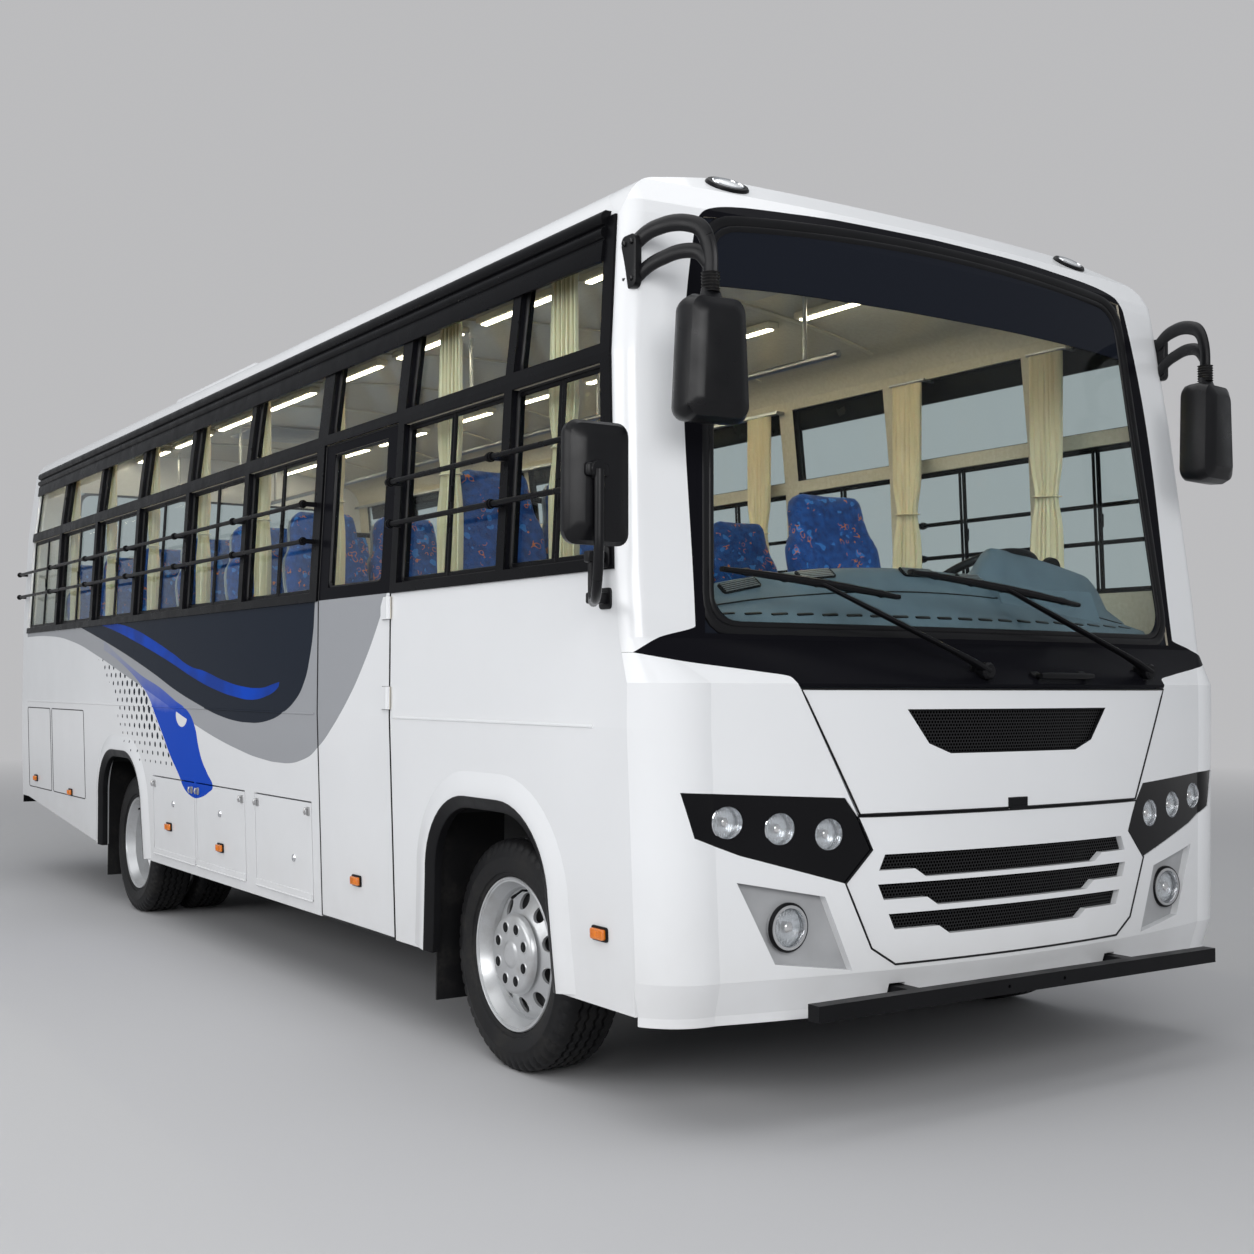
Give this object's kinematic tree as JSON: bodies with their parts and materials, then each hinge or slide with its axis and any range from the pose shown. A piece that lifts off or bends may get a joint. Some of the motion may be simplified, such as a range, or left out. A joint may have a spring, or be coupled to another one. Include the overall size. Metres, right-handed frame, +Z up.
{
  "type": "coach bus",
  "caption": "Front-engine midi coach with flat windscreen nose, looped mirrors, barred side windows, hinged entry door and side luggage doors.",
  "frame": {"origin": "on the ground under the middle of the whole coach, mirrors included; the coach's own middle plane lies at x = +0.114 m because the square mirror reaches out on the right only", "axes": "+Z up, the nose looks along -Y, +X is the coach's own left"},
  "size_m": [2.8264, 7.635, 2.945],
  "materials": {
    "white_paint": "white gloss paint",
    "black_frame": "satin black",
    "black_plastic": "matt black",
    "grey_plastic": "grey moulding",
    "clear_glass": "clear, faint green",
    "amber_lens": "amber lens",
    "red_lens": "red lens",
    "lamp_black": "gloss black lamp bezel",
    "mesh_black": "black mesh",
    "frame_steel": "black chassis paint",
    "cast": "cast iron, painted",
    "tank_metal": "plain",
    "wheel_silver": "silver paint",
    "tyre_rubber": "black rubber",
    "flap_rubber": "black rubber sheet",
    "floor_cover": "grey floor cover on plywood",
    "tread_metal": "ribbed tread plate",
    "seat_fabric": "blue patterned fabric",
    "curtain_cloth": "cream cloth",
    "dash_plastic": "grey dashboard moulding",
    "bay_sheet": "grey sheet steel"
  },
  "bodies": {
    "coach": {"side_wall_right": "white_paint", "side_wall_left": "white_paint", "roof": "white_paint", "nose_shell": "white_paint", "windscreen": "clear_glass", "grille_panel": "white_paint", "grille_mesh": "mesh_black", "headlamp_units": "lamp_black", "fog_lamp_units": "grey_plastic", "cabin_glass": "clear_glass", "tail_shell": "white_paint", "rear_bumper": "black_plastic", "tail_lamps": "red_lens", "luggage_bays": "bay_sheet", "floor": "floor_cover", "entry_steps": "tread_metal", "engine_cover": "dash_plastic", "chassis_frame": "frame_steel", "engine": "cast", "propeller_shaft": "frame_steel", "fuel_tank": "tank_metal", "front_axle": "frame_steel", "rear_axle": "cast", "window_frames": "black_frame", "guard_bars": "black_frame", "mirrors": "black_plastic", "bumper_bar": "black_frame", "roof_pod": "white_paint", "marker_lamps": "amber_lens", "mud_flaps": "flap_rubber", "wipers": "black_frame", "passenger_seats": "seat_fabric", "driver_seat": "seat_fabric", "seat_frames": "frame_steel", "dashboard": "dash_plastic", "steering_wheel": "black_plastic", "curtains": "curtain_cloth", "curtain_rails": "tread_metal"},
    "steer_right": {"knuckle_right": "cast"},
    "front_wheel_right": {"front_wheel_right": "wheel_silver", "front_tyre_right": "tyre_rubber"},
    "rear_wheels_right": {"rear_wheels_right": "wheel_silver", "rear_tyres_right": "tyre_rubber"},
    "steer_left": {"knuckle_left": "cast"},
    "front_wheel_left": {"front_wheel_left": "wheel_silver", "front_tyre_left": "tyre_rubber"},
    "rear_wheels_left": {"rear_wheels_left": "wheel_silver", "rear_tyres_left": "tyre_rubber"},
    "entry_door": {"entry_door": "white_paint", "door_glass": "clear_glass"},
    "luggage_door_right_first": {"luggage_door_right_first": "white_paint"},
    "luggage_door_right_second": {"luggage_door_right_second": "white_paint"},
    "luggage_door_right_third": {"luggage_door_right_third": "white_paint"},
    "luggage_door_left_first": {"luggage_door_left_first": "white_paint"},
    "luggage_door_left_second": {"luggage_door_left_second": "white_paint"},
    "luggage_door_left_third": {"luggage_door_left_third": "white_paint"},
    "bonnet_flap": {"bonnet_flap": "white_paint", "bonnet_mesh": "mesh_black"}
  },
  "joints": [
    {"name": "steer_right", "type": "hinge", "parent": "coach", "child": "steer_right", "pos_m": [-0.82325, -2.6525, 0.368], "axis": [0, 0, 1], "range_deg": [-32, 32]},
    {"name": "roll_front_right", "type": "hinge", "parent": "steer_right", "child": "front_wheel_right", "pos_m": [-0.92825, -2.6525, 0.368], "axis": [1, 0, 0], "continuous": true},
    {"name": "roll_rear_right", "type": "hinge", "parent": "coach", "child": "rear_wheels_right", "pos_m": [-0.80575, 1.4475, 0.368], "axis": [1, 0, 0], "continuous": true},
    {"name": "steer_left", "type": "hinge", "parent": "coach", "child": "steer_left", "pos_m": [1.05175, -2.6525, 0.368], "axis": [0, 0, 1], "range_deg": [-32, 32]},
    {"name": "roll_front_left", "type": "hinge", "parent": "steer_left", "child": "front_wheel_left", "pos_m": [1.15675, -2.6525, 0.368], "axis": [1, 0, 0], "continuous": true},
    {"name": "roll_rear_left", "type": "hinge", "parent": "coach", "child": "rear_wheels_left", "pos_m": [1.03425, 1.4475, 0.368], "axis": [1, 0, 0], "continuous": true},
    {"name": "entry_door_hinge", "type": "hinge", "parent": "coach", "child": "entry_door", "pos_m": [-1.14605, -1.9735, 1.3], "axis": [0, 0, 1], "range_deg": [0, 85]},
    {"name": "luggage_door_right_first_hinge", "type": "hinge", "parent": "coach", "child": "luggage_door_right_first", "pos_m": [-1.11087, -0.91, 0.372], "axis": [0, -1, 0], "range_deg": [0, 90]},
    {"name": "luggage_door_right_second_hinge", "type": "hinge", "parent": "coach", "child": "luggage_door_right_second", "pos_m": [-1.11087, -0.1425, 0.372], "axis": [0, -1, 0], "range_deg": [0, 90]},
    {"name": "luggage_door_right_third_hinge", "type": "hinge", "parent": "coach", "child": "luggage_door_right_third", "pos_m": [-1.11087, 0.536, 0.372], "axis": [0, -1, 0], "range_deg": [0, 90]},
    {"name": "luggage_door_left_first_hinge", "type": "hinge", "parent": "coach", "child": "luggage_door_left_first", "pos_m": [1.33937, -0.91, 0.372], "axis": [0, 1, 0], "range_deg": [0, 90]},
    {"name": "luggage_door_left_second_hinge", "type": "hinge", "parent": "coach", "child": "luggage_door_left_second", "pos_m": [1.33937, -0.1425, 0.372], "axis": [0, 1, 0], "range_deg": [0, 90]},
    {"name": "luggage_door_left_third_hinge", "type": "hinge", "parent": "coach", "child": "luggage_door_left_third", "pos_m": [1.33937, 0.536, 0.372], "axis": [0, 1, 0], "range_deg": [0, 90]},
    {"name": "bonnet_flap_hinge", "type": "hinge", "parent": "coach", "child": "bonnet_flap", "pos_m": [0.11425, -3.7468, 0.864], "axis": [1, 0, 0], "range_deg": [0, 80]}
  ],
  "couplings": [
    {"joint": "steer_left", "follows": "steer_right", "ratio": 1}
  ]
}
